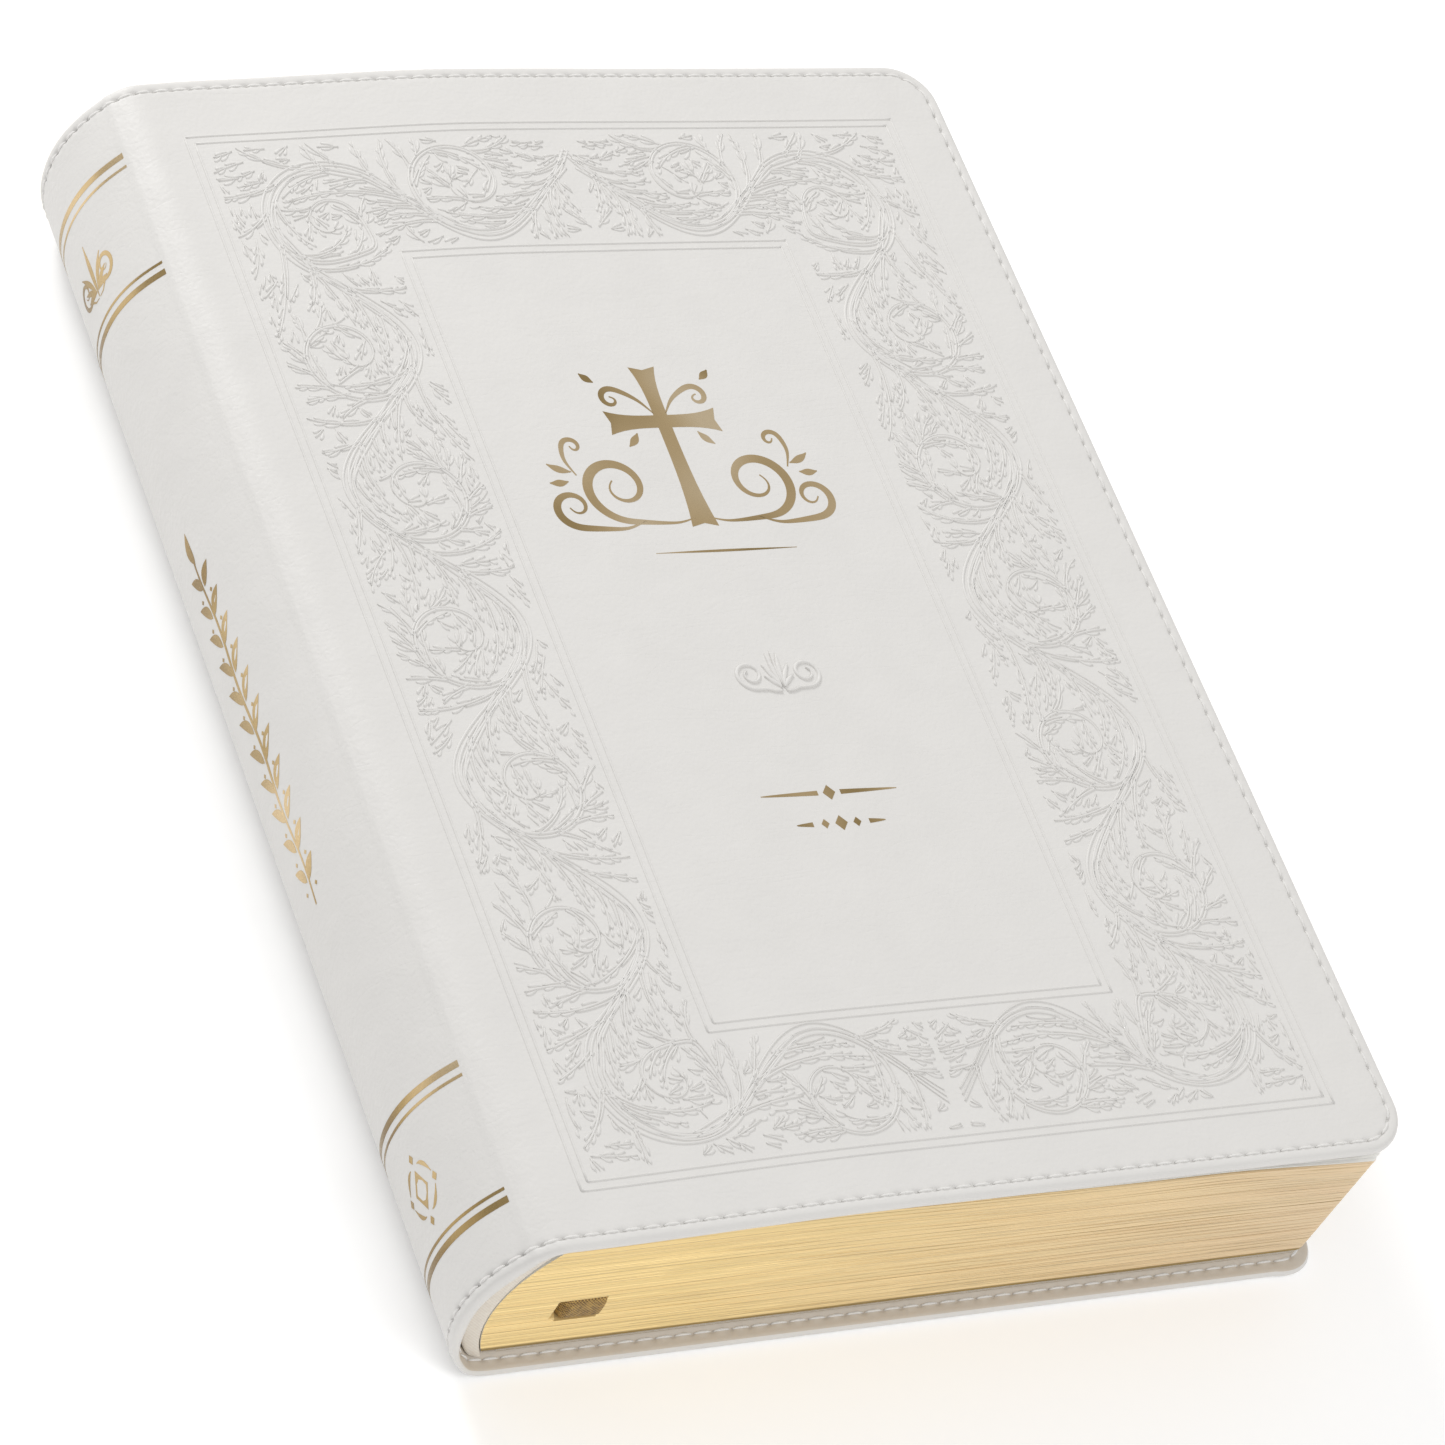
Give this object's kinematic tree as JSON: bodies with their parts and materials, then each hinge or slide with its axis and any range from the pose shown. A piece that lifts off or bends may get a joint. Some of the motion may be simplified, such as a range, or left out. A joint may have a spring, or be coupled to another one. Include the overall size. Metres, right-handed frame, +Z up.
{
  "type": "bible",
  "caption": "Thick closed bible in a soft white stitched cover with a rounded spine, gilt page edges, ribbon marker and covers that open on their hinges.",
  "frame": {"origin": "centre of the closed book's bounding box, on the surface it lies on", "axes": "+X towards the fore-edge, +Y towards the head, +Z up through the front cover"},
  "size_m": [0.1716, 0.24, 0.0414],
  "materials": {
    "leather": "satin off-white grained imitation leather",
    "thread": "off-white sewing thread",
    "board": "grey book board",
    "endpaper": "heavy off-white paper",
    "pages": "thin white paper with gilt edges",
    "lining": "open-weave cloth glued under paper",
    "band_fabric": "woven cotton band",
    "ribbon": "ribbed gold satin ribbon",
    "gold_foil": "stamped pale gold foil"
  },
  "bodies": {
    "back_cover": {"back_cover_leather": "leather", "back_cover_board": "board", "back_pastedown": "endpaper", "back_cover_stitching": "thread"},
    "spine_block": {"spine_leather": "leather", "spine_inlay": "board", "spine_head_stitching": "thread", "spine_tail_stitching": "thread", "spine_lining": "lining", "headband": "band_fabric", "tailband": "band_fabric", "ribbon_marker": "ribbon", "section_01_sewn_fold": "pages", "section_02_sewn_fold": "pages", "section_03_sewn_fold": "pages", "section_04": "pages", "section_05": "pages", "section_06": "pages", "section_07": "pages", "section_08": "pages", "section_09": "pages", "section_10": "pages", "section_11": "pages", "section_12": "pages"},
    "front_cover": {"front_cover_leather": "leather", "front_cover_board": "board", "front_pastedown": "endpaper", "front_cover_stitching": "thread", "front_foil_cross": "gold_foil"},
    "front_endpaper": {"front_flyleaf": "endpaper"},
    "leaves_1": {"section_01_leaves": "pages"},
    "leaves_2": {"section_02_leaves": "pages"},
    "leaves_3": {"section_03_leaves": "pages"},
    "back_endpaper": {"back_flyleaf": "endpaper"}
  },
  "joints": [
    {"name": "back_hinge", "type": "hinge", "parent": "back_cover", "child": "spine_block", "pos_m": [-0.08124, 0, 0.00482], "axis": [0, 1, 0], "range_deg": [-90, 0]},
    {"name": "front_hinge", "type": "hinge", "parent": "spine_block", "child": "front_cover", "pos_m": [-0.0797, 0, 0.03865], "axis": [0, -1, 0], "range_deg": [0, 175]},
    {"name": "front_flyleaf_turn", "type": "hinge", "parent": "spine_block", "child": "front_endpaper", "pos_m": [-0.062, 0, 0.0381], "axis": [0, -1, 0], "range_deg": [0, 157.5]},
    {"name": "leaves_1_turn", "type": "hinge", "parent": "spine_block", "child": "leaves_1", "pos_m": [-0.062, 0, 0.03506], "axis": [0, -1, 0], "range_deg": [0, 78.75]},
    {"name": "leaves_2_turn", "type": "hinge", "parent": "spine_block", "child": "leaves_2", "pos_m": [-0.062, 0, 0.03222], "axis": [0, -1, 0], "range_deg": [0, 52.5]},
    {"name": "leaves_3_turn", "type": "hinge", "parent": "spine_block", "child": "leaves_3", "pos_m": [-0.062, 0, 0.02937], "axis": [0, -1, 0], "range_deg": [0, 26.25]},
    {"name": "back_flyleaf_turn", "type": "hinge", "parent": "back_cover", "child": "back_endpaper", "pos_m": [-0.072, 0, 0.0033], "axis": [0, 1, 0], "range_deg": [-45, 0]}
  ],
  "couplings": [
    {"joint": "front_flyleaf_turn", "follows": "front_hinge", "ratio": 0.9},
    {"joint": "leaves_1_turn", "follows": "front_hinge", "ratio": 0.45},
    {"joint": "leaves_2_turn", "follows": "front_hinge", "ratio": 0.3},
    {"joint": "leaves_3_turn", "follows": "front_hinge", "ratio": 0.15},
    {"joint": "back_flyleaf_turn", "follows": "back_hinge", "ratio": 0.5}
  ]
}
